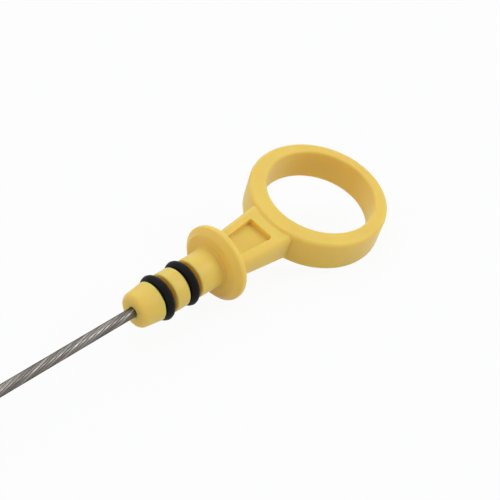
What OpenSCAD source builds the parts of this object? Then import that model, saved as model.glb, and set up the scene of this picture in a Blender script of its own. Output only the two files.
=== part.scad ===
// Engine oil dipstick: moulded finger ring, grooved plug with two seals,
// twisted gauge wire and a flat gauge tip. Millimetres.
// Built straight along X with the ring flat, then laid down as it comes to rest.
// X points from the gauge tip to the ring, and the origin is the middle of the
// collar's seat face.

/* [Finger ring] */
// outside diameter of the ring
ring_od = 42; // [38:0.5:50]
// diameter of the finger hole
ring_id = 32.8; // [26:0.1:34]
// how far the finger hole lies beyond the ring's middle
hole_shift = 1; // [0:0.1:1.5]
// height of the ring
ring_h = 10.5; // [8:0.1:13]
// radius of the ring's outer edges
ring_edge = 1.1; // [0.6:0.1:1.8]
// radius of the finger hole's edges
hole_edge = 0.8; // [0.4:0.1:1.2]
// from the seat face to the middle of the ring
ring_reach = 43.25; // [40:0.25:54]

/* [Neck] */
// width of the neck where it leaves the collar
neck_w_collar = 12.6; // [10:0.1:14]
// width of the neck where it meets the ring
neck_w_ring = 15.8; // [14:0.1:19]
// thickness of the neck where it leaves the collar
neck_h_collar = 6.6; // [5.5:0.1:7.5]
// thickness of the neck where it meets the ring
neck_h_ring = 9.2; // [7.5:0.1:10]
// radius of the neck's long edges
neck_edge = 2; // [1:0.1:2.4]
// radius of the neck's corners beside the ring
neck_corner = 3; // [2:0.1:4]
// thickness of the web between the two recesses
web_t = 4.6; // [2:0.1:5]
// wall left beside each recess
pocket_wall = 3.2; // [2.4:0.1:3.8]
// wall left between the recess and the collar
pocket_foot = 2; // [1:0.1:4]
// wall left between the recess and the ring
pocket_head = 3.2; // [2.6:0.1:6]
// corner radius of the recess
pocket_corner = 0.8; // [0.4:0.1:1.2]

/* [Collar] */
// diameter of the collar
collar_d = 22.4; // [20:0.2:26]
// thickness of the collar
collar_t = 3.6; // [3.4:0.1:4.5]
// diameter of the collar's flat seat face
seat_d = 18.6; // [17:0.1:19]
// depth of the bevel between the seat face and the rim
bevel = 1.6; // [1:0.1:1.8]
// radius of the rim's front edge
rim_edge = 0.3; // [0.1:0.1:0.5]
// radius of the collar's rear edge
rear_edge = 1.2; // [0.4:0.1:1.2]
// fillet between the collar and the plug
seat_fillet = 0.9; // [0.3:0.1:1]

/* [Plug] */
// diameter of the plug
plug_d = 11.5; // [11:0.1:12.4]
// from the seat face to the middle of the rear groove
groove_depth = 10.4; // [9:0.05:12]
// from groove to groove
groove_pitch = 8.8; // [8:0.1:11]
// width of each seal groove
groove_w = 4.3; // [4:0.1:4.8]
// how far each seal sits in front of its groove's middle
seal_rest = 0.3; // [0:0.05:0.7]
// radius of the edges beside each groove
land_edge = 0.4; // [0.2:0.1:0.6]
// length of the tapered nose beyond the front groove
nose_len = 6.6; // [5:0.05:12]
// diameter of the nose at its end
nose_d = 9.8; // [8:0.1:10.8]
// radius of the nose's end edge
nose_edge = 1.4; // [0.4:0.1:1.4]

/* [Seals] */
// thickness of the seal cord
seal_cord = 2.6; // [2.2:0.1:2.8]
// inside diameter of each seal as fitted
seal_id = 7.9; // [7:0.1:8.4]

/* [Gauge wire] */
// diameter over the strands
wire_d = 2.8; // [2:0.1:3.2]
// outer strands in the wire
strands = 12; // [6:1:14]
// length of one full turn of the strands
lay = 30; // [24:1:40]
// radial clearance round the wire
wire_gap = 0.04; // [0.02:0.01:0.1]
// diameter of the anchor sleeve
anchor_d = 4.8; // [4:0.1:5.4]
// length of the anchor sleeve
anchor_len = 12; // [8:0.5:16]
// from the nose's end to the anchor sleeve
anchor_depth = 6; // [4:0.5:10]

/* [Gauge tip] */
// from the seat face to the end of the gauge tip
reach = 340; // [240:5:480]
// length of the gauge tip
tip_len = 64; // [56:1:90]
// length of the tip's round socket
socket_len = 14; // [10:1:18]
// diameter of the socket
socket_d = 5.2; // [4.6:0.1:6]
// depth of the wire in the socket
socket_depth = 11; // [6:0.5:13]
// width of the blade
blade_w = 7; // [6:0.1:8]
// thickness of the blade
blade_t = 2.8; // [2:0.1:3.4]
// from the tip's end to the lower mark
mark_low = 14; // [10:0.5:18]
// from the lower mark to the upper mark
mark_span = 22; // [16:1:28]
// radius of the side notch at each mark
notch_r = 0.9; // [0.6:0.1:1.2]
// spacing of the grooves between the marks
hatch_pitch = 2.75; // [2.2:0.05:4]
// width of each groove
hatch_w = 0.9; // [0.6:0.1:1.2]
// depth of each groove
hatch_depth = 0.35; // [0.2:0.05:0.5]

/* [Hidden] */
$fn = 96;
slip = 0.02;
seal_gap = 0.03;
ring_r = ring_od / 2;
collar_r = collar_d / 2;
groove_front = groove_depth + groove_pitch;
groove_r = seal_id / 2 - seal_gap;
nose_base = groove_front + groove_w / 2;
nose_end = nose_base + nose_len;
anchor_start = nose_end - anchor_depth;
wire_top = anchor_start - anchor_len;
tip_start = reach - tip_len;
wire_end = tip_start + socket_depth;

// The rim's front edge is tangent to the bevel and to the rim.
bevel_lean = atan2(collar_r - seat_d / 2, bevel);
rim_start = bevel + rim_edge * tan(bevel_lean / 2);

// The collar's rim, the gauge tip's end and the ring's edge touch the surface.
rest_run = norm([reach + rim_start, collar_r - rim_edge - blade_t / 2]);
pitch = atan2(collar_r - rim_edge - blade_t / 2, reach + rim_start) + asin(rim_edge / rest_run);
seat_height = rim_edge + (collar_r - rim_edge) * cos(pitch) - rim_start * sin(pitch);
ring_height = seat_height + ring_reach * sin(pitch);
lean = asin((ring_height - ring_edge) / norm([ring_r - ring_edge, ring_h / 2 - ring_edge]))
  - atan2(ring_h / 2 - ring_edge, ring_r - ring_edge);
roll = acos(cos(lean) / cos(pitch));

handle_yellow = [0.9, 0.76, 0.33];
rubber_black = [0.06, 0.06, 0.07];
steel = [0.62, 0.6, 0.57];

module pitched() { rotate([0, -pitch, 0]) children(); }
module laid() { pitched() rotate([roll, 0, 0]) children(); }

// Turns a profile of radius against depth below the seat about the stick's axis.
module turned() { rotate([0, -90, 0]) rotate_extrude() children(); }

// A band from the axis out to radius r, between two depths, with its own edge radii.
module band(a, b, r, ea, eb) {
  translate([0, a + ea]) square([r, b - a - ea - eb]);
  translate([0, a]) square([r - max(ea, eb), b - a]);
  if (ea > 0) band_edge(r, a + ea, ea);
  if (eb > 0) band_edge(r, b - eb, eb);
}
module band_edge(r, d, e) {
  translate([r - e, d]) circle(e);
  translate([0, d - e]) square([r - e, 2 * e]);
}

module collar_profile() {
  c = collar_r - rim_edge;
  polygon([[0, -collar_t], [collar_r - rear_edge, -collar_t], [collar_r - rear_edge, rear_edge - collar_t],
    [collar_r, rear_edge - collar_t], [collar_r, -rim_start], [c, -rim_start],
    [c + rim_edge * cos(bevel_lean), rim_edge * sin(bevel_lean) - rim_start], [seat_d / 2, 0], [0, 0]]);
  translate([c, -rim_start]) circle(rim_edge);
  translate([collar_r - rear_edge, rear_edge - collar_t]) circle(rear_edge);
  difference() {
    translate([0, -0.5]) square([plug_d / 2 + seat_fillet, seat_fillet + 0.5]);
    translate([plug_d / 2 + seat_fillet, seat_fillet]) circle(seat_fillet);
  }
}

module nose_profile() {
  r = nose_d / 2;
  lean_in = atan2(plug_d / 2 - r, nose_len);
  // the end edge's circle is tangent to the taper and to the end face
  cy = nose_end - nose_edge;
  wall = plug_d / 2 - (cy - nose_base) * tan(lean_in);
  cx = wall - nose_edge / cos(lean_in);
  polygon([[0, nose_base], [plug_d / 2, nose_base],
    [cx + nose_edge * cos(lean_in), cy + nose_edge * sin(lean_in)], [cx, cy], [cx, nose_end], [0, nose_end]]);
  translate([cx, cy]) circle(nose_edge);
}

module plug_profile() {
  band(-0.5, groove_depth - groove_w / 2, plug_d / 2, 0, land_edge);
  band(groove_depth + groove_w / 2, groove_front - groove_w / 2, plug_d / 2, land_edge, land_edge);
  square([groove_r, nose_base + 0.5]);
  nose_profile();
}

// Half the neck's width and half its thickness at a distance x from the seat face.
neck_run = ring_reach - ring_r - collar_t;
neck_slope = atan2((neck_w_ring - neck_w_collar) / 2, neck_run);
neck_rise = atan2((neck_h_ring - neck_h_collar) / 2, neck_run);
neck_end = ring_reach - ring_r + neck_corner + 0.4;
function neck_half(x) = neck_w_collar / 2 + (x - collar_t) * tan(neck_slope);
function neck_high(x) = neck_h_collar / 2 + (x - collar_t) * tan(neck_rise);

// A block whose one round edge follows one long edge of the neck.
module neck_block() {
  w = 2 * neck_w_ring;
  e = neck_edge;
  translate([0, neck_half(0), neck_high(0)]) rotate([0, -neck_rise, neck_slope]) rotate([90, 0, 90])
    translate([0, 0, -neck_edge]) linear_extrude(2 * ring_reach) {
      translate([-w, -w]) square([w - e, w]);
      translate([-w, -w]) square([w, w - e]);
      translate([-e, -e]) circle(e);
    }
}

// The neck's plan, with round corners beside the ring.
module neck_plan() {
  x = neck_end - neck_corner;
  y = neck_half(x) - neck_corner;
  w = neck_w_ring;
  translate([collar_t / 2, -w]) square([x - collar_t / 2, 2 * w]);
  translate([collar_t / 2, -y]) square([neck_end - collar_t / 2, 2 * y]);
  for (s = [-1, 1]) translate([x, s * y]) circle(neck_corner);
}

// Upper and lower halves meet at the mould's parting plane.
module neck() {
  for (m = [0, 1]) mirror([0, 0, m]) intersection() {
    neck_block();
    mirror([0, 1, 0]) neck_block();
    linear_extrude(neck_w_ring) neck_plan();
  }
}

// The recess above the neck's web, with round corners.
module neck_pocket() {
  c = pocket_corner;
  a = collar_t + pocket_foot + c;
  b = ring_reach - ring_r - pocket_head - c;
  na = neck_half(a) - (pocket_wall + c) / cos(neck_slope);
  nb = neck_half(b) - (pocket_wall + c) / cos(neck_slope);
  ox = c * sin(neck_slope);
  oy = c * cos(neck_slope);
  translate([0, 0, web_t / 2]) linear_extrude(neck_h_ring) {
    polygon([[a - c, -na], [a, -na], [a + ox, -na - oy], [b + ox, -nb - oy], [b, -nb], [b + c, -nb],
      [b + c, nb], [b, nb], [b + ox, nb + oy], [a + ox, na + oy], [a, na], [a - c, na]]);
    for (s = [-1, 1]) {
      translate([a, s * na]) circle(c);
      translate([b, s * nb]) circle(c);
    }
  }
}

module ring_profile() {
  e = ring_edge;
  translate([0, e - ring_h / 2]) square([ring_r, ring_h - 2 * e]);
  translate([0, -ring_h / 2]) square([ring_r - e, ring_h]);
  for (y = [e - ring_h / 2, ring_h / 2 - e]) translate([ring_r - e, y]) circle(e);
}

// The finger hole opens out in a round at both faces and meets them at a slight angle.
module hole_profile() {
  e = hole_edge;
  c = ring_h / 2 - 0.94 * e;
  m = ring_id / 2 + e;
  w = m - 0.24 * e;
  difference() {
    translate([0, -ring_h / 2 - 1]) square([w, ring_h + 2]);
    translate([ring_id / 2, -c]) square([e, 2 * c]);
    for (y = [-c, c]) translate([m, y]) circle(e);
  }
}

module handle() {
  color(handle_yellow) laid() {
    difference() {
      union() {
        turned() { collar_profile(); plug_profile(); }
        neck();
        translate([ring_reach, 0, 0]) rotate_extrude() ring_profile();
      }
      translate([ring_reach + hole_shift, 0, 0]) rotate_extrude() hole_profile();
      for (m = [0, 1]) mirror([0, 0, m]) neck_pocket();
      turned() {
        square([wire_d / 2 + wire_gap, nose_end + 1]);
        translate([0, wire_top - slip]) square([anchor_d / 2 + slip, anchor_len + 2 * slip]);
      }
    }
  }
}

module seal(depth) {
  color(rubber_black) laid()
    turned() translate([seal_id / 2 + seal_cord / 2, depth]) circle(seal_cord / 2);
}
module o_ring_rear() { seal(groove_depth + seal_rest); }
module o_ring_front() { seal(groove_front + seal_rest); }

module wire_anchor() {
  color(steel) laid()
    turned() translate([wire_d / 2 + slip, wire_top]) square([anchor_d / 2 - wire_d / 2 - slip, anchor_len]);
}

// The strands' outline: rounded crests that meet in shallow valleys.
function strand_points(n, r) = [for (i = [0 : n - 1], p = [[0, 1 - 1.4 / n], [0.32, 1], [0.68, 1]])
  let(t = 360 * (i + p[0]) / n) r * p[1] * [cos(t), sin(t)]];

module gauge_wire() {
  run = wire_end - wire_top;
  color(steel) laid() translate([-wire_top, 0, 0]) rotate([0, -90, 0])
    linear_extrude(height = run, twist = 360 * run / lay, slices = round(12 * run / lay), $fn = 8)
      polygon(strand_points(strands, wire_d / 2));
}

module blade_plan() {
  c = 1;
  h = blade_w / 2;
  s = socket_d / 2 - 0.2;
  polygon([[tip_start + socket_len - 2, -s], [tip_start + socket_len + 5, -h], [reach - c, -h], [reach - c, -h + c], [reach, -h + c],
    [reach, h - c], [reach - c, h - c], [reach - c, h], [tip_start + socket_len + 5, h], [tip_start + socket_len - 2, s]]);
  for (y = [-h + c, h - c]) translate([reach - c, y]) circle(c);
}

module gauge_tip() {
  upper = reach - mark_low - mark_span;
  lower = reach - mark_low;
  rows = floor((mark_span - 2 * notch_r - 2) / hatch_pitch);
  color(handle_yellow) pitched() rotate([0, 0, 180]) {
    difference() {
      union() {
        translate([0, 0, -blade_t / 2]) linear_extrude(blade_t) blade_plan();
        rotate([0, 90, 0]) rotate_extrude() {
          band(tip_start, tip_start + socket_len, socket_d / 2, 0.5, 0.5);
        }
      }
      translate([tip_start - 1, 0, 0]) rotate([0, 90, 0]) cylinder(r = wire_d / 2 + wire_gap, h = socket_depth + 1 + slip);
      for (x = [upper, lower], s = [-1, 1])
        translate([x, s * blade_w / 2, -blade_t]) cylinder(r = notch_r, h = 2 * blade_t);
      for (i = [0 : rows], m = [0, 1]) mirror([0, 0, m])
        translate([(upper + lower) / 2 + (i - rows / 2) * hatch_pitch, 0, blade_t / 2 - hatch_depth])
          rotate([0, 0, 30]) translate([-hatch_w / 2, -blade_w, 0]) cube([hatch_w, 2 * blade_w, blade_t]);
    }
  }
}

handle();
o_ring_rear();
o_ring_front();
wire_anchor();
gauge_wire();
gauge_tip();
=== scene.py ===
import math
from functools import partial

import bmesh
import bpy
import numpy as np
from mathutils import Matrix, Vector


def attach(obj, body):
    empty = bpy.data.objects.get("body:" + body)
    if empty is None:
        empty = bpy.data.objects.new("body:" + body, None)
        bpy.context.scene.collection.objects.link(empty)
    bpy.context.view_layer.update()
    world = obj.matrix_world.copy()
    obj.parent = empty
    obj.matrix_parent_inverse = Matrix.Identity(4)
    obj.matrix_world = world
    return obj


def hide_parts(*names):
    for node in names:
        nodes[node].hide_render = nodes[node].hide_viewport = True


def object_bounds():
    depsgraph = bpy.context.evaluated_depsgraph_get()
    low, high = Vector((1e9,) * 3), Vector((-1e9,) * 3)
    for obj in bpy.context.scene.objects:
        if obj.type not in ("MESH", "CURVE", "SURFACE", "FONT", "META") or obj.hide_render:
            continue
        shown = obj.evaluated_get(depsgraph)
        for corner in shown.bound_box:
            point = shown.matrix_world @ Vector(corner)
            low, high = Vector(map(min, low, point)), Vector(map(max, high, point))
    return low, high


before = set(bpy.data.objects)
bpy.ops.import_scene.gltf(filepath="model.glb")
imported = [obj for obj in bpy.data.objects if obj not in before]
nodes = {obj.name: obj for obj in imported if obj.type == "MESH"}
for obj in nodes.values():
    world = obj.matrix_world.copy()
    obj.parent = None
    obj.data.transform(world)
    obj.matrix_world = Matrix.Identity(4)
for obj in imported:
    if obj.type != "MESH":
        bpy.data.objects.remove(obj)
cadLow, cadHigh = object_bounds()
print("frame loaded:", ", ".join(sorted(nodes)))

# The stick is drawn straight along X and then laid down: pitched up to the ring,
# and rolled onto the ring's lower edge.
lie = {"pitch": math.radians(1.64263), "roll": math.radians(21.88366)}
stickToRow = Matrix.Rotation(-lie["pitch"], 4, "Y") @ Matrix.Rotation(lie["roll"], 4, "X")


# node helpers

nodeSpacing = (210, 190)      # from column to column and from row to row in the node editor


def fillInputs(tree, node, inputs):
    # an output of another node is linked, anything else is set as the input's own value
    for name, value in inputs.items():
        if isinstance(value, bpy.types.NodeSocket):
            tree.links.new(value, node.inputs[name])
        else:
            node.inputs[name].default_value = value


def addNode(tree, kind, column, row, inputs=None, **settings):
    node = tree.nodes.new(kind)
    node.location = (column * nodeSpacing[0], -row * nodeSpacing[1])
    for name, value in settings.items():
        setattr(node, name, value)
    fillInputs(tree, node, inputs or {})
    return node


def addMath(tree, operation, first, second=0.0, third=0.0, column=0, row=0):
    inputs = {0: first, 1: second}
    if operation in ("MULTIPLY_ADD", "SMOOTH_MIN"):
        inputs[2] = third
    return addNode(tree, "ShaderNodeMath", column, row, inputs, operation=operation).outputs[0]


def newGroup(name, kind, inputs, outputs, lastColumn):
    group = bpy.data.node_groups.new(name, kind)
    for label, socketType, value in inputs:
        socket = group.interface.new_socket(name=label, in_out="INPUT", socket_type="NodeSocket" + socketType)
        if value is not None:
            socket.default_value = value
    for label, socketType in outputs:
        group.interface.new_socket(name=label, in_out="OUTPUT", socket_type="NodeSocket" + socketType)
    start = addNode(group, "NodeGroupInput", 0, 0)
    end = addNode(group, "NodeGroupOutput", lastColumn, 0)
    return group, start.outputs, end


def placeGroup(tree, group, column, row, inputs):
    return addNode(tree, "ShaderNodeGroup", column, row, inputs, node_tree=group).outputs


def mixColour(tree, share, first, second, column, row):
    inputs = {0: share, 6: first, 7: second}
    return addNode(tree, "ShaderNodeMix", column, row, inputs, data_type="RGBA").outputs[2]


# shader groups that several finishes share

def makeSurfaceGrain():
    # fine unevenness of a moulded or drawn surface, as a height, and a slow patchiness of 0 to 1
    group, given, end = newGroup("surfaceGrain", "ShaderNodeTree",
        [("Vector", "Vector", None), ("Grain Size", "Float", 0.0004), ("Patch Size", "Float", 0.012)],
        [("Height", "Float"), ("Patches", "Float")], 4)
    pitShare = 0.35           # pits against the plain grain
    fineScale = addMath(group, "DIVIDE", 1.0, given["Grain Size"], column=1, row=0)
    patchScale = addMath(group, "DIVIDE", 1.0, given["Patch Size"], column=1, row=1)
    fine = addNode(group, "ShaderNodeTexNoise", 2, 0,
        {"Vector": given["Vector"], "Scale": fineScale, "Detail": 3.0, "Roughness": 0.6})
    pits = addNode(group, "ShaderNodeTexVoronoi", 2, 1,
        {"Vector": given["Vector"], "Scale": fineScale, "Randomness": 1.0}, feature="SMOOTH_F1")
    patch = addNode(group, "ShaderNodeTexNoise", 2, 2,
        {"Vector": given["Vector"], "Scale": patchScale, "Detail": 2.0, "Roughness": 0.5})
    both = addMath(group, "MULTIPLY_ADD", pits.outputs["Distance"], pitShare, fine.outputs["Fac"], 3, 0)
    group.links.new(both, end.inputs["Height"])
    group.links.new(patch.outputs["Fac"], end.inputs["Patches"])
    return group


def makeToneDrift():
    # slow drift of a colour's value and hue over the surface
    group, given, end = newGroup("toneDrift", "ShaderNodeTree",
        [("Colour", "Color", (0.8, 0.8, 0.8, 1.0)), ("Patches", "Float", 0.5),
            ("Value Drift", "Float", 0.06), ("Hue Drift", "Float", 0.004)],
        [("Colour", "Color")], 4)
    centred = addMath(group, "SUBTRACT", given["Patches"], 0.5, column=1, row=0)
    value = addMath(group, "MULTIPLY_ADD", centred, given["Value Drift"], 1.0, column=2, row=0)
    hue = addMath(group, "MULTIPLY_ADD", centred, given["Hue Drift"], 0.5, column=2, row=1)
    shifted = addNode(group, "ShaderNodeHueSaturation", 3, 0,
        {"Hue": hue, "Value": value, "Color": given["Colour"]})
    group.links.new(shifted.outputs["Color"], end.inputs["Colour"])
    return group


def makeHandlingScuffs():
    # two sets of short hair scratches, from handling and packing, as a mask of 0 to 1
    group, given, end = newGroup("handlingScuffs", "ShaderNodeTree",
        [("Vector", "Vector", None), ("Length", "Float", 0.006),
            ("Thinness", "Float", 22.0), ("Cover", "Float", 0.3)],
        [("Mask", "Float")], 8)
    directions = ((0.3, 0.5, 0.9), (1.1, -0.6, -0.5))
    rarest = 0.82             # noise above this is a scratch where the cover is 0
    perCover = -0.3           # how far full cover lowers that
    softEdge = 0.05
    scale = addMath(group, "DIVIDE", 1.0, given["Length"], column=1, row=0)
    edge = addMath(group, "MULTIPLY_ADD", given["Cover"], perCover, rarest, column=1, row=1)
    edgeEnd = addMath(group, "ADD", edge, softEdge, column=2, row=3)
    masks = []
    for k, turn in enumerate(directions):
        turned = addNode(group, "ShaderNodeMapping", 2, k, {"Vector": given["Vector"], "Rotation": turn})
        stretch = addNode(group, "ShaderNodeCombineXYZ", 3, k + 2,
            {"X": 1.0, "Y": given["Thinness"], "Z": given["Thinness"]})
        stretched = addNode(group, "ShaderNodeVectorMath", 4, k,
            {0: turned.outputs["Vector"], 1: stretch.outputs["Vector"]}, operation="MULTIPLY")
        hair = addNode(group, "ShaderNodeTexNoise", 5, k,
            {"Vector": stretched.outputs["Vector"], "Scale": scale, "Detail": 1.0})
        masks.append(addNode(group, "ShaderNodeMapRange", 6, k,
            {"Value": hair.outputs["Fac"], "From Min": edge, "From Max": edgeEnd}).outputs["Result"])
    most = addMath(group, "MAXIMUM", masks[0], masks[1], column=7, row=0)
    group.links.new(most, end.inputs["Mask"])
    return group


surfaceGrain = makeSurfaceGrain()
toneDrift = makeToneDrift()
handlingScuffs = makeHandlingScuffs()


def startMaterial(name):
    material = bpy.data.materials.new(name)
    material.use_nodes = True
    tree = material.node_tree
    shader = tree.nodes["Principled BSDF"]
    shader.location = (2400, 0)
    tree.nodes["Material Output"].location = (2800, 0)
    return material, tree, shader


def addScuffs(tree, look, coords, column, row):
    return placeGroup(tree, handlingScuffs, column, row, {"Vector": coords, "Length": look["scuffLength"],
        "Thinness": look["scuffThinness"], "Cover": look["scuffCover"]})["Mask"]


def driftRoughness(tree, look, patches, column, row):
    # the roughness drifts by roughnessDrift in all, evenly to both sides of its plain value
    lowest = look["roughness"] - look["roughnessDrift"] / 2
    return addMath(tree, "MULTIPLY_ADD", patches, look["roughnessDrift"], lowest, column, row)


def addRelief(tree, shader, height, column, row):
    # heights are in metres, so distance and strength stay at 1
    bump = addNode(tree, "ShaderNodeBump", column, row, {"Height": height, "Distance": 1.0, "Strength": 1.0})
    tree.links.new(bump.outputs["Normal"], shader.inputs["Normal"])


# moulded plastic of the handle and of the gauge tip

plasticLook = {
    "colour": (0.862, 0.626, 0.124, 1.0),
    "valueDrift": 0.10,
    "hueDrift": 0.010,
    "patchSize": 0.014,
    # painted shade in the inner corners and a painted highlight on the outer edges, both led by the bend
    # attribute
    "paintedShadeColour": (0.640, 0.330, 0.040, 1.0),
    "paintedShadeShare": 0.40,          # how far inner corners go to the painted shade colour
    "paintedShadeBends": (0.05, 0.9),
    "paintedHighlightColour": (0.880, 0.660, 0.170, 1.0),
    "paintedHighlightShare": 0.25,           # how far outer edges go to the painted highlight colour
    "paintedHighlightBends": (-0.15, -0.9),
    "roughness": 0.42,
    "roughnessDrift": 0.10,
    "ior": 1.48,
    "specular": 0.30,
    "scatter": 0.85,              # share of the light that spreads inside the plastic
    "scatterReach": 0.0030,
    "scatterTint": (1.0, 0.42, 0.10),
    "grainSize": 0.00045,
    "grainDepth": 0.000016,
    "seamHeight": 0.00004,        # flash left where the mould's halves meet
    "seamWidth": 0.00011,
    "scuffLength": 0.005,
    "scuffThinness": 26.0,
    "scuffCover": 0.35,
    "scuffRoughness": 0.14,
    "scuffDepth": 0.000006,
}
tipLook = {**plasticLook, "roughness": 0.46}


def makeMouldedPlastic(name, look, seamTurn):
    material, tree, shader = startMaterial(name)
    coords = addNode(tree, "ShaderNodeTexCoord", 0, 0).outputs["Object"]
    grain = placeGroup(tree, surfaceGrain, 1, 0,
        {"Vector": coords, "Grain Size": look["grainSize"], "Patch Size": look["patchSize"]})
    scuffs = addScuffs(tree, look, coords, 2, 5)

    # colour: painted shade, darker and redder in hollows, and a painted highlight, paler on outer edges
    tone = placeGroup(tree, toneDrift, 2, 0, {"Colour": look["colour"], "Patches": grain["Patches"],
        "Value Drift": look["valueDrift"], "Hue Drift": look["hueDrift"]})
    bend = addNode(tree, "ShaderNodeAttribute", 1, 2, attribute_name="bend").outputs["Fac"]
    shares = []
    for row, (bends, share) in enumerate((("paintedShadeBends", "paintedShadeShare"), ("paintedHighlightBends", "paintedHighlightShare")), 2):
        shares.append(addNode(tree, "ShaderNodeMapRange", 2, row, {"Value": bend, "From Min": look[bends][0],
            "From Max": look[bends][1], "To Max": look[share]}).outputs["Result"])
    # painted shade in the hollows, then a painted highlight on the outer edges
    sunk = mixColour(tree, shares[0], tone["Colour"], look["paintedShadeColour"], 4, 0)
    paintedShadeAndHighlight = mixColour(tree, shares[1], sunk, look["paintedHighlightColour"], 5, 0)
    tree.links.new(paintedShadeAndHighlight, shader.inputs["Base Color"])

    rough = driftRoughness(tree, look, grain["Patches"], 5, 2)
    rough = addMath(tree, "MULTIPLY_ADD", scuffs, look["scuffRoughness"], rough, column=6, row=2)
    tree.links.new(rough, shader.inputs["Roughness"])

    # relief: mould seam, grain and scuffs
    turned = addNode(tree, "ShaderNodeMapping", 1, 7,
        {"Vector": coords, "Rotation": seamTurn}, vector_type="POINT")
    height = addNode(tree, "ShaderNodeSeparateXYZ", 2, 7, {"Vector": turned.outputs["Vector"]}).outputs["Z"]
    away = addMath(tree, "ABSOLUTE", height, column=3, row=7)
    seam = addNode(tree, "ShaderNodeMapRange", 4, 7,
        {"Value": away, "From Min": look["seamWidth"], "From Max": 0.0}, interpolation_type="SMOOTHSTEP")
    relief = addMath(tree, "MULTIPLY", seam.outputs["Result"], look["seamHeight"], column=5, row=7)
    relief = addMath(tree, "MULTIPLY_ADD", grain["Height"], look["grainDepth"], relief, column=6, row=6)
    relief = addMath(tree, "MULTIPLY_ADD", scuffs, -look["scuffDepth"], relief, column=7, row=6)
    addRelief(tree, shader, relief, 8, 6)

    shader.inputs["IOR"].default_value = look["ior"]
    shader.inputs["Specular IOR Level"].default_value = look["specular"]
    shader.inputs["Subsurface Weight"].default_value = look["scatter"]
    shader.inputs["Subsurface Radius"].default_value = look["scatterTint"]
    shader.inputs["Subsurface Scale"].default_value = look["scatterReach"]
    return material


# rubber of the seals

rubberLook = {
    "colour": (0.0045, 0.0042, 0.0050, 1.0),
    "bloom": (0.0100, 0.0098, 0.0115, 1.0),   # faint grey bloom on fresh rubber
    "bloomPatches": (0.45, 0.75),
    "bloomShare": 0.5,
    "patchSize": 0.004,
    "roughness": 0.46,
    "roughnessDrift": 0.16,
    "ior": 1.52,
    "specular": 0.10,
    "grainSize": 0.00022,
    "grainDepth": 0.000012,
    "scuffLength": 0.003,
    "scuffThinness": 16.0,
    "scuffCover": 0.2,
    "scuffRoughness": 0.12,
}


def makeSealRubber(name, look):
    material, tree, shader = startMaterial(name)
    coords = addNode(tree, "ShaderNodeTexCoord", 0, 0).outputs["Object"]
    grain = placeGroup(tree, surfaceGrain, 1, 0,
        {"Vector": coords, "Grain Size": look["grainSize"], "Patch Size": look["patchSize"]})
    scuffs = addScuffs(tree, look, coords, 1, 3)
    bloom = addNode(tree, "ShaderNodeMapRange", 2, 1,
        {"Value": grain["Patches"], "From Min": look["bloomPatches"][0],
            "From Max": look["bloomPatches"][1], "To Max": look["bloomShare"]})
    colour = mixColour(tree, bloom.outputs["Result"], look["colour"], look["bloom"], 3, 0)
    tree.links.new(colour, shader.inputs["Base Color"])
    rough = driftRoughness(tree, look, grain["Patches"], 3, 2)
    rough = addMath(tree, "MULTIPLY_ADD", scuffs, look["scuffRoughness"], rough, column=4, row=2)
    tree.links.new(rough, shader.inputs["Roughness"])
    relief = addMath(tree, "MULTIPLY", grain["Height"], look["grainDepth"], column=3, row=4)
    addRelief(tree, shader, relief, 5, 4)
    shader.inputs["IOR"].default_value = look["ior"]
    shader.inputs["Specular IOR Level"].default_value = look["specular"]
    return material


# steel of the wires and of the anchor sleeve

steelLook = {
    "bright": (0.300, 0.268, 0.240, 1.0),
    "dull": (0.160, 0.143, 0.128, 1.0),
    "groove": (0.022, 0.019, 0.016, 1.0),     # painted shade, dark between the wires
    "unshadedFrom": (0.4, 1.0),                   # the painted shade fades out between these crowns
    "grazing": (0.03, 0.025, 0.02, 1.0),      # reflection at a flat angle, dimmed by the grease
    "roughness": 0.34,
    "roughnessDrift": 0.16,
    "drawLines": 0.000004,                    # depth of the lines that drawing leaves along the metal
    "lineDrift": 0.55,
    "wireLines": {"alongWire": 160.0, "acrossWire": 22.0, "wireTone": 37.0},
    "sleeveLines": (300.0, 6000.0, 6000.0),
    "sleeveGrainSize": 0.0003,
    "sleevePatchSize": 0.006,
}


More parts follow.
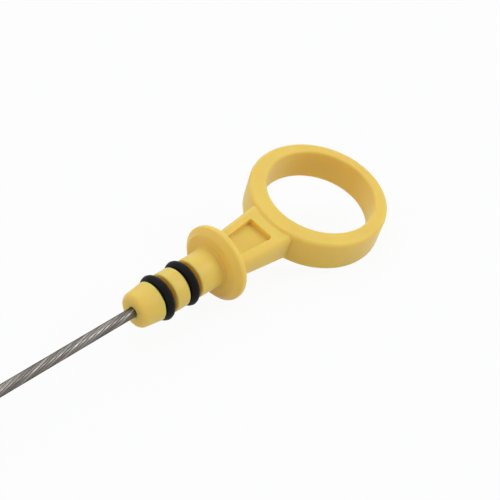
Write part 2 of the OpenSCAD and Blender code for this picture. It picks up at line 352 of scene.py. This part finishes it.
def makeWireSteel(name, look, stranded):
    material, tree, shader = startMaterial(name)
    if stranded:
        stored = {}
        for row, label in enumerate(("crown", *look["wireLines"]), 2):
            stored[label] = addNode(tree, "ShaderNodeAttribute", 1, row, attribute_name=label).outputs["Fac"]
        tone, crown = stored["wireTone"], stored["crown"]
        scaled = [addMath(tree, "MULTIPLY", stored[label], scale, column=2, row=row)
            for row, (label, scale) in enumerate(look["wireLines"].items(), 4)]
        lineAt = addNode(tree, "ShaderNodeCombineXYZ", 3, 4, dict(zip("XYZ", scaled))).outputs["Vector"]
    else:
        coords = addNode(tree, "ShaderNodeTexCoord", 0, 0).outputs["Object"]
        grain = placeGroup(tree, surfaceGrain, 1, 0, {"Vector": coords,
            "Grain Size": look["sleeveGrainSize"], "Patch Size": look["sleevePatchSize"]})
        tone, crown = grain["Patches"], 1.0
        lineAt = addNode(tree, "ShaderNodeMapping", 3, 4,
            {"Vector": coords, "Scale": look["sleeveLines"]}).outputs["Vector"]
    lines = addNode(tree, "ShaderNodeTexNoise", 4, 4,
        {"Vector": lineAt, "Scale": 1.0, "Detail": 2.0}).outputs["Fac"]
    metal = mixColour(tree, tone, look["dull"], look["bright"], 3, 0)
    drift = placeGroup(tree, toneDrift, 4, 0,
        {"Colour": metal, "Patches": lines, "Value Drift": look["lineDrift"], "Hue Drift": 0.0})
    # painted shade: below the crowns the colour goes dark between the wires
    unshaded = addNode(tree, "ShaderNodeMapRange", 3, 2,
        {"Value": crown, "From Min": look["unshadedFrom"][0], "From Max": look["unshadedFrom"][1]})
    colour = mixColour(tree, unshaded.outputs["Result"], look["groove"], drift["Colour"], 5, 0)
    tree.links.new(colour, shader.inputs["Base Color"])
    tree.links.new(driftRoughness(tree, look, lines, 5, 2), shader.inputs["Roughness"])
    addRelief(tree, shader, addMath(tree, "MULTIPLY", lines, look["drawLines"], column=5, row=4), 6, 4)
    shader.inputs["Metallic"].default_value = 1.0
    shader.inputs["Specular Tint"].default_value = look["grazing"]
    return material


# the handle's mould parts in the stick's own level plane, the tip's in a plane that isn't rolled
rowToStick = stickToRow.inverted().to_euler("XYZ")
handlePlastic = makeMouldedPlastic("handlePlastic", plasticLook, tuple(rowToStick))
tipPlastic = makeMouldedPlastic("tipPlastic", tipLook, (0.0, lie["pitch"], 0.0))
sealRubber = makeSealRubber("sealRubber", rubberLook)
strandSteel = makeWireSteel("strandSteel", steelLook, True)
sleeveSteel = makeWireSteel("sleeveSteel", steelLook, False)
print("materials made")


# pieces

def setInputs(modifier, values):
    for item in modifier.node_group.interface.items_tree:
        if item.item_type == "SOCKET" and item.in_out == "INPUT":
            modifier[item.identifier] = values[item.name]


def takeMesh(builder, name):
    # the builder's evaluated shape as a plain mesh; the builder and its modifiers go
    graph = bpy.context.evaluated_depsgraph_get()
    mesh = bpy.data.meshes.new_from_object(builder.evaluated_get(graph),
        preserve_all_data_layers=True, depsgraph=graph)
    mesh.name = name
    bpy.data.objects.remove(builder)
    return mesh


def newBuilder(mesh):
    builder = bpy.data.objects.new("builder", mesh)
    bpy.context.scene.collection.objects.link(builder)
    return builder


def countTriangles(mesh):
    return sum(len(p.vertices) - 2 for p in mesh.polygons)


def addPiece(name, mesh, nodeName):
    piece = bpy.data.objects.new(name, mesh)
    bpy.context.scene.collection.objects.link(piece)
    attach(piece, "root")
    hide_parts(nodeName)
    print(f"{name}: {countTriangles(mesh)} triangles in place of {nodeName}")


# the handle and the tip: a merged copy of the node, rounded as a mould leaves its edges and corners

handleFinish = {
    "voxel": 0.00018,
    "rounding": 6,
    "triangles": 186000,
    "bendPasses": 14,
    "bendReach": 0.00012,     # a step of this height counts as a full bend
}
tipFinish = {
    "voxel": 0.00014,
    "rounding": 5,
    "triangles": 90000,
    "bendPasses": 12,
    "bendReach": 0.00009,
}
mergeWithin = 0.000002        # metres between corners that are one
bendSmoothing = 4             # passes over the bends at the end


def markBends(mesh, passes, reach):
    # attribute "bend": above 0 in hollows, below 0 on ridges, 0 on plain walls
    count = len(mesh.vertices)
    place, normal = np.empty(count * 3, np.float32), np.empty(count * 3, np.float32)
    mesh.vertices.foreach_get("co", place)
    mesh.vertices.foreach_get("normal", normal)
    place, normal = place.reshape(-1, 3).astype(float), normal.reshape(-1, 3).astype(float)
    ends = np.empty(len(mesh.edges) * 2, np.int32)
    mesh.edges.foreach_get("vertices", ends)
    first, second = ends.reshape(-1, 2).T
    degree = np.maximum(np.bincount(first, minlength=count) + np.bincount(second, minlength=count), 1)

    def blur(values):
        total = np.bincount(first, values[second], count) + np.bincount(second, values[first], count)
        return 0.5 * values + 0.5 * (total / degree)

    blurred = place.copy()
    for _ in range(passes):
        for axis in range(3):
            blurred[:, axis] = blur(blurred[:, axis])
    bend = ((blurred - place) * normal).sum(1) / reach
    for _ in range(bendSmoothing):
        bend = blur(bend)
    attribute = mesh.attributes.new("bend", "FLOAT", "POINT")
    attribute.data.foreach_set("value", np.clip(bend, -1, 1).astype(np.float32))


def softenMoulding(nodeName, finish):
    source = nodes[nodeName].data.copy()
    shape = bmesh.new()
    shape.from_mesh(source)
    bmesh.ops.remove_doubles(shape, verts=shape.verts, dist=mergeWithin)
    shape.to_mesh(source)
    shape.free()
    builder = newBuilder(source)
    remesh = builder.modifiers.new("remesh", "REMESH")
    remesh.mode, remesh.voxel_size, remesh.use_smooth_shade = "VOXEL", finish["voxel"], True
    smooth = builder.modifiers.new("smooth", "SMOOTH")
    smooth.factor, smooth.iterations = 0.5, finish["rounding"]
    dense = takeMesh(builder, nodeName + "Dense")
    thinner = newBuilder(dense)
    decimate = thinner.modifiers.new("decimate", "DECIMATE")
    decimate.ratio = min(1.0, finish["triangles"] / countTriangles(dense))
    mesh = takeMesh(thinner, nodeName + "Soft")
    mesh.polygons.foreach_set("use_smooth", [True] * len(mesh.polygons))
    markBends(mesh, finish["bendPasses"], finish["bendReach"])
    return mesh


def addMoulding(name, nodeName, finish, plastic):
    mesh = softenMoulding(nodeName, finish)
    mesh.materials.clear()
    mesh.materials.append(plastic)
    addPiece(name, mesh, nodeName)


addMoulding("fingerHandle", "handle", handleFinish, handlePlastic)
addMoulding("levelTip", "gauge_tip", tipFinish, tipPlastic)


# what the geometry trees share

def newGeometryTree(name, inputs, lastColumn):
    tree, given, end = newGroup(name, "GeometryNodeTree", inputs, [("Geometry", "Geometry")], lastColumn)
    tree.is_modifier = True
    return tree, given, end


def storeValue(tree, column, row, geometry, name, value):
    return addNode(tree, "GeometryNodeStoreNamedAttribute", column, row,
        {"Geometry": geometry, "Name": name, "Value": value},
        data_type="FLOAT", domain="POINT").outputs["Geometry"]


def endTree(tree, column, geometry, material, end):
    real = addNode(tree, "GeometryNodeRealizeInstances", column, 0, {"Geometry": geometry})
    soft = addNode(tree, "GeometryNodeSetShadeSmooth", column + 1, 0, {"Geometry": real.outputs["Geometry"]})
    painted = addNode(tree, "GeometryNodeSetMaterial", column + 2, 0,
        {"Geometry": soft.outputs["Geometry"], "Material": material})
    tree.links.new(painted.outputs["Geometry"], end.inputs["Geometry"])


def buildFromTree(name, tree, values):
    builder = newBuilder(bpy.data.meshes.new(name + "Start"))
    modifier = builder.modifiers.new(tree.name, "NODES")
    modifier.node_group = tree
    setInputs(modifier, values)
    mesh = takeMesh(builder, name)
    mesh.transform(stickToRow)
    return mesh


# the gauge wire: a core under round wires that wind round it, pressed together in a die

wireSizes = {
    "Start": -0.28695,
    "End": -0.01005,
    "Lay Length": 0.030,
    "Rope Radius": 0.0014,
    "Pressed": 0.00018,       # how much of its radius the rope lost when it was drawn through its die
    "Outer Wires": 12,
    "Steps per Turn": 44,
    "Sides": 14,
    "Loose": 0.000012,        # how far single wires sink in from the others
    "Seed": 7,
}


def makeTwistedWire():
    inputs = [("Start", "Float", 0.0), ("End", "Float", 0.1), ("Lay Length", "Float", 0.03),
        ("Rope Radius", "Float", 0.001), ("Outer Wires", "Int", 12), ("Steps per Turn", "Int", 40),
        ("Sides", "Int", 10), ("Loose", "Float", 0.0), ("Pressed", "Float", 0.0),
        ("Seed", "Int", 0), ("Material", "Material", None)]
    tree, given, end = newGeometryTree("twistedWire", inputs, 16)
    calc = partial(addMath, tree)
    closeness = 0.976         # a little under 1 leaves a hair of room between the wires
    coreInset = -0.55         # the core ends this many wire radii inside the wires' centres
    dieSoftness = 0.00004     # how softly the pressed face runs out
    wavesAlong, wavesBetween = 60.0, 50.0

    # wires that touch each other: rope radius before the die = centre radius + wire radius
    share = calc("DIVIDE", math.pi * closeness, given["Outer Wires"], column=1, row=2)
    laidRadius = calc("ADD", given["Rope Radius"], given["Pressed"], column=2, row=1)
    centreRadius = calc("DIVIDE", laidRadius, calc("ADD", share, 1.0, column=2, row=2), column=3, row=2)
    wireRadius = calc("MULTIPLY", centreRadius, share, column=4, row=2)

    # a straight line down the middle, copied once for each wire
    startPoint = addNode(tree, "ShaderNodeCombineXYZ", 1, 0, {"X": given["Start"]})
    endPoint = addNode(tree, "ShaderNodeCombineXYZ", 1, 1, {"X": given["End"]})
    line = addNode(tree, "GeometryNodeCurvePrimitiveLine", 2, 0,
        {"Start": startPoint.outputs[0], "End": endPoint.outputs[0]})
    span = calc("SUBTRACT", given["End"], given["Start"], column=2, row=3)
    turnsInAll = calc("DIVIDE", span, given["Lay Length"], column=3, row=3)
    steps = calc("MULTIPLY", turnsInAll, given["Steps per Turn"], column=4, row=3)
    divided = addNode(tree, "GeometryNodeResampleCurve", 3, 0,
        {"Curve": line.outputs["Curve"], "Count": steps}, mode="COUNT")
    copies = addNode(tree, "GeometryNodeDuplicateElements", 4, 0,
        {"Geometry": divided.outputs["Curve"], "Amount": given["Outer Wires"]}, domain="SPLINE")
    index = copies.outputs["Duplicate Index"]

    # each copy winds round the middle, with a slow waver of its own
    where = addNode(tree, "GeometryNodeInputPosition", 1, 5)
    alongX = addNode(tree, "ShaderNodeSeparateXYZ", 2, 5, {"Vector": where.outputs["Position"]}).outputs["X"]
    chance = addNode(tree, "FunctionNodeRandomValue", 4, 5,
        {"ID": index, "Seed": given["Seed"]}, data_type="FLOAT").outputs[1]
    turns = calc("DIVIDE", alongX, given["Lay Length"], column=3, row=4)
    part = calc("DIVIDE", index, given["Outer Wires"], column=5, row=4)
    angle = calc("MULTIPLY", calc("SUBTRACT", part, turns, column=6, row=4), 2 * math.pi, column=7, row=4)
    waverX = calc("MULTIPLY", alongX, wavesAlong, column=4, row=6)
    waverY = calc("MULTIPLY", part, wavesBetween, column=4, row=7)
    waverAt = addNode(tree, "ShaderNodeCombineXYZ", 5, 6, {"X": waverX, "Y": waverY})
    waver = addNode(tree, "ShaderNodeTexNoise", 6, 6,
        {"Vector": waverAt.outputs[0], "Scale": 1.0, "Detail": 1.0}).outputs["Fac"]
    sunk = calc("MULTIPLY", calc("SUBTRACT", waver, 1.0, column=7, row=6), given["Loose"], column=8, row=6)
    radius = calc("ADD", centreRadius, sunk, column=8, row=5)
    y = calc("MULTIPLY", calc("COSINE", angle, column=8, row=3), radius, column=9, row=3)
    z = calc("MULTIPLY", calc("SINE", angle, column=8, row=4), radius, column=9, row=4)
    helix = addNode(tree, "ShaderNodeCombineXYZ", 10, 4, {"X": alongX, "Y": y, "Z": z})
    wound = addNode(tree, "GeometryNodeSetPosition", 6, 0,
        {"Geometry": copies.outputs["Geometry"], "Position": helix.outputs[0]})
    toned = storeValue(tree, 7, 0, wound.outputs["Geometry"], "wireTone", chance)
    metred = storeValue(tree, 8, 0, toned, "alongWire", alongX)

    # round sections along the copies and the core
    section = addNode(tree, "GeometryNodeCurvePrimitiveCircle", 6, 1,
        {"Resolution": given["Sides"], "Radius": wireRadius}, mode="RADIUS")
    wayRound = addNode(tree, "GeometryNodeSplineParameter", 6, 2).outputs["Factor"]
    marked = storeValue(tree, 7, 1, section.outputs["Curve"], "acrossWire", wayRound)
    tubes = addNode(tree, "GeometryNodeCurveToMesh", 9, 0,
        {"Curve": metred, "Profile Curve": marked, "Fill Caps": True})
    coreRadius = calc("MULTIPLY_ADD", wireRadius, coreInset, centreRadius, column=7, row=2)
    coreSection = addNode(tree, "GeometryNodeCurvePrimitiveCircle", 8, 2,
        {"Resolution": 24, "Radius": coreRadius}, mode="RADIUS")
    core = addNode(tree, "GeometryNodeCurveToMesh", 9, 1, {"Curve": line.outputs["Curve"],
        "Profile Curve": coreSection.outputs["Curve"], "Fill Caps": True})
    joined = addNode(tree, "GeometryNodeJoinGeometry", 10, 0, {"Geometry": core.outputs["Mesh"]})
    tree.links.new(tubes.outputs["Mesh"], joined.inputs["Geometry"])

    # the die presses the crowns flat at the rope's radius
    again = addNode(tree, "GeometryNodeInputPosition", 9, 6).outputs["Position"]
    offAxis = addNode(tree, "ShaderNodeVectorMath", 10, 6,
        {0: again, 1: (0.0, 1.0, 1.0)}, operation="MULTIPLY")
    reachOut = addNode(tree, "ShaderNodeVectorMath", 11, 6,
        {0: offAxis.outputs[0]}, operation="LENGTH").outputs["Value"]
    pressedTo = calc("SMOOTH_MIN", reachOut, given["Rope Radius"], dieSoftness, column=12, row=6)
    shrink = calc("DIVIDE", pressedTo, reachOut, column=13, row=6)
    shrinkBoth = addNode(tree, "ShaderNodeCombineXYZ", 14, 6, {"X": 1.0, "Y": shrink, "Z": shrink})
    pressedAt = addNode(tree, "ShaderNodeVectorMath", 15, 6,
        {0: again, 1: shrinkBoth.outputs[0]}, operation="MULTIPLY")
    pressed = addNode(tree, "GeometryNodeSetPosition", 11, 0,
        {"Geometry": joined.outputs["Geometry"], "Position": pressedAt.outputs[0]})

    # how far out of the rope a point now lies: 0 at the wires' centres, 1 on the crowns
    crown = addNode(tree, "ShaderNodeMapRange", 11, 5,
        {"Value": reachOut, "From Min": centreRadius, "From Max": given["Rope Radius"]})
    crowned = storeValue(tree, 12, 0, pressed.outputs["Geometry"], "crown", crown.outputs["Result"])
    endTree(tree, 13, crowned, given["Material"], end)
    return tree


wireMesh = buildFromTree("twistedWire", makeTwistedWire(), {**wireSizes, "Material": strandSteel})
addPiece("twistedWire", wireMesh, "gauge_wire")


# the seals: round cord with the thin flash of its mould on the outside

sealSizes = {
    "Cord Radius": 0.0013,
    "Ring Radius": 0.00525,
    "Flash Height": 0.00004,
    "Flash Width": 0.07,      # radians round the cord
    "Steps Round": 144,
    "Steps Across": 56,
}
sealPlaces = {"rearSeal": ("o_ring_rear", -0.0107), "frontSeal": ("o_ring_front", -0.0195)}


def makeMouldedSeal():
    inputs = [("Cord Radius", "Float", 0.001), ("Ring Radius", "Float", 0.005),
        ("Flash Height", "Float", 0.0), ("Flash Width", "Float", 0.1), ("Steps Round", "Int", 96),
        ("Steps Across", "Int", 48), ("Place", "Float", 0.0), ("Material", "Material", None)]
    tree, given, end = newGeometryTree("mouldedSeal", inputs, 8)
    calc = partial(addMath, tree)
    crowding = -0.80          # how far the steps crowd together on the flash

    ring = addNode(tree, "GeometryNodeCurvePrimitiveCircle", 1, 0,
        {"Resolution": given["Steps Round"], "Radius": given["Ring Radius"]}, mode="RADIUS")
    level = addNode(tree, "GeometryNodeSetCurveNormal", 2, 0, {"Curve": ring.outputs["Curve"]}, mode="Z_UP")
    section = addNode(tree, "GeometryNodeCurvePrimitiveCircle", 1, 1,
        {"Resolution": given["Steps Across"], "Radius": 1.0}, mode="RADIUS")

    # the section's points: even steps round the cord, drawn together at the flash
    step = addNode(tree, "GeometryNodeSplineParameter", 1, 3).outputs["Index"]
    part = calc("DIVIDE", step, given["Steps Across"], column=2, row=3)
    centred = calc("SUBTRACT", part, calc("ROUND", part, column=3, row=4), column=4, row=3)
    even = calc("MULTIPLY", centred, 2 * math.pi, column=5, row=3)
    angle = calc("MULTIPLY_ADD", calc("SINE", even, column=6, row=4), crowding, even, column=7, row=3)

    # the flash: a bell-shaped rise round angle 0
    narrow = calc("DIVIDE", angle, given["Flash Width"], column=8, row=4)
    falls = calc("MULTIPLY", calc("MULTIPLY", narrow, narrow, column=9, row=4), -1.0, column=10, row=4)
    bell = calc("EXPONENT", falls, column=11, row=4)
    flash = calc("MULTIPLY", bell, given["Flash Height"], column=12, row=4)
    radius = calc("ADD", flash, given["Cord Radius"], column=13, row=3)
    x = calc("MULTIPLY", calc("COSINE", angle, column=14, row=3), radius, column=15, row=3)
    y = calc("MULTIPLY", calc("SINE", angle, column=14, row=4), radius, column=15, row=4)
    point = addNode(tree, "ShaderNodeCombineXYZ", 16, 3, {"X": x, "Y": y})
    shaped = addNode(tree, "GeometryNodeSetPosition", 2, 1,
        {"Geometry": section.outputs["Curve"], "Position": point.outputs[0]})
    tube = addNode(tree, "GeometryNodeCurveToMesh", 3, 0, {"Curve": level.outputs["Curve"],
        "Profile Curve": shaped.outputs["Geometry"], "Fill Caps": False})

    # stood up across the stick
    spot = addNode(tree, "ShaderNodeCombineXYZ", 3, 2, {"X": given["Place"]})
    stood = addNode(tree, "GeometryNodeTransform", 4, 0, {"Geometry": tube.outputs["Mesh"],
        "Translation": spot.outputs[0], "Rotation": (0.0, math.pi / 2, 0.0)})
    endTree(tree, 5, stood.outputs["Geometry"], given["Material"], end)
    return tree


sealTree = makeMouldedSeal()
for pieceName, (nodeName, place) in sealPlaces.items():
    sealMesh = buildFromTree(pieceName, sealTree, {**sealSizes, "Place": place, "Material": sealRubber})
    addPiece(pieceName, sealMesh, nodeName)

for slot in nodes["wire_anchor"].material_slots:
    slot.material = sleeveSteel
print("pieces made")


# floor, world, lamps and camera

room = {
    "floorColour": (0.80, 0.80, 0.80, 1.0),
    "floorWhite": 0.93,        # how much of the floor's look is plain white, the rest takes the shadow
    "floorRadius": 6.0,
    "floorDrop": 0.00001,      # the part rests this far above the floor
    "white": (1.0, 1.0, 1.0, 1.0),
    "skyColour": (1.0, 0.93, 0.95, 1.0),
    "skyStrength": 0.54,
    "lamps": {
        "overheadSoftbox": {
            "place": (-0.10, 0.14, 1.30), "size": 1.1, "power": 4.4, "colour": (0.58, 0.82, 1.0)},
        "rightSoftbox": {
            "place": (0.75, -0.85, 0.85), "size": 0.72, "power": 5.7, "colour": (0.80, 0.89, 1.0)},
        "leftSoftbox": {
            "place": (-1.05, 0.45, 0.75), "size": 0.9, "power": 2.1, "colour": (1.0, 0.82, 0.66)},
        "backSoftbox": {
            "place": (0.65, 0.85, 0.90), "size": 0.9, "power": 1.8, "colour": (1.0, 1.0, 0.92)},
    },
}


def seenRays(tree, column, row):
    # 1 for rays from the camera, a glossy surface or glass
    light = addNode(tree, "ShaderNodeLightPath", column, row).outputs
    either = addMath(tree, "MAXIMUM", light["Is Camera Ray"], light["Is Glossy Ray"],
        column=column + 1, row=row)
    return addMath(tree, "MAXIMUM", either, light["Is Transmission Ray"], column=column + 2, row=row)


def makeFloor():
    shape = bmesh.new()
    bmesh.ops.create_circle(shape, cap_ends=True, segments=96, radius=room["floorRadius"])
    mesh = bpy.data.meshes.new("floor")
    shape.to_mesh(mesh)
    shape.free()
    for vertex in mesh.vertices:
        vertex.co.z = cadLow.z - room["floorDrop"]
    material = bpy.data.materials.new("paleFloor")
    material.use_nodes = True
    tree = material.node_tree
    tree.nodes.clear()
    matt = addNode(tree, "ShaderNodeBsdfDiffuse", 3, 0, {"Color": room["floorColour"]})
    plain = addNode(tree, "ShaderNodeEmission", 3, 1, {"Color": room["white"], "Strength": 1.0})
    seen = addMath(tree, "MULTIPLY", seenRays(tree, 0, 0), room["floorWhite"], column=3, row=2)
    both = addNode(tree, "ShaderNodeMixShader", 4, 0, {0: seen, 1: matt.outputs[0], 2: plain.outputs[0]})
    addNode(tree, "ShaderNodeOutputMaterial", 5, 0, {"Surface": both.outputs[0]})
    mesh.materials.append(material)
    floor = bpy.data.objects.new("floor", mesh)
    bpy.context.scene.collection.objects.link(floor)


def makeWorld():
    # light of the sky on the object, plain white wherever it is seen
    world = bpy.data.worlds.new("studio")
    world.use_nodes = True
    bpy.context.scene.world = world
    tree = world.node_tree
    tree.nodes.clear()
    sky = addNode(tree, "ShaderNodeBackground", 3, 0,
        {"Color": room["skyColour"], "Strength": room["skyStrength"]})
    white = addNode(tree, "ShaderNodeBackground", 3, 1, {"Color": room["white"], "Strength": 1.0})
    both = addNode(tree, "ShaderNodeMixShader", 4, 0,
        {0: seenRays(tree, 0, 0), 1: sky.outputs[0], 2: white.outputs[0]})
    addNode(tree, "ShaderNodeOutputWorld", 5, 0, {"Surface": both.outputs[0]})


def aimedAtPart(place):
    # a lamp shines along its own -Z
    turn = Vector(place).normalized().to_track_quat("Z", "Y").to_matrix().to_4x4()
    return Matrix.Translation(place) @ turn


def makeLamps():
    for name, values in room["lamps"].items():
        lamp = bpy.data.lights.new(name, "AREA")
        lamp.shape, lamp.size, lamp.energy = "DISK", values["size"], values["power"]
        lamp.color = values["colour"]
        holder = bpy.data.objects.new(name, lamp)
        holder.matrix_world = aimedAtPart(values["place"])
        bpy.context.scene.collection.objects.link(holder)


# the photograph's view: the camera's place in metres, and its axes in the row's frame
shot = {
    "place": (-0.171589, -0.190759, 0.158188),
    "right": (0.69687, -0.71614, -0.03876),
    "up": (0.39172, 0.33479, 0.85701),
    "back": (-0.60077, -0.61241, 0.51384),
    "lens": 79.2,
    "sensor": 36.0,
    "clip": (0.01, 20.0),
}


def makeCamera():
    data = bpy.data.cameras.new("photoCamera")
    data.lens, data.sensor_width, data.sensor_fit = shot["lens"], shot["sensor"], "HORIZONTAL"
    data.clip_start, data.clip_end = shot["clip"]
    camera = bpy.data.objects.new("photoCamera", data)
    columns = Matrix((shot["right"], shot["up"], shot["back"])).transposed()
    camera.matrix_world = Matrix.Translation(shot["place"]) @ columns.to_4x4()
    bpy.context.scene.collection.objects.link(camera)
    bpy.context.scene.camera = camera


makeFloor()
makeWorld()
makeLamps()
makeCamera()
bpy.context.scene.view_settings.view_transform = "Standard"
print("room made")
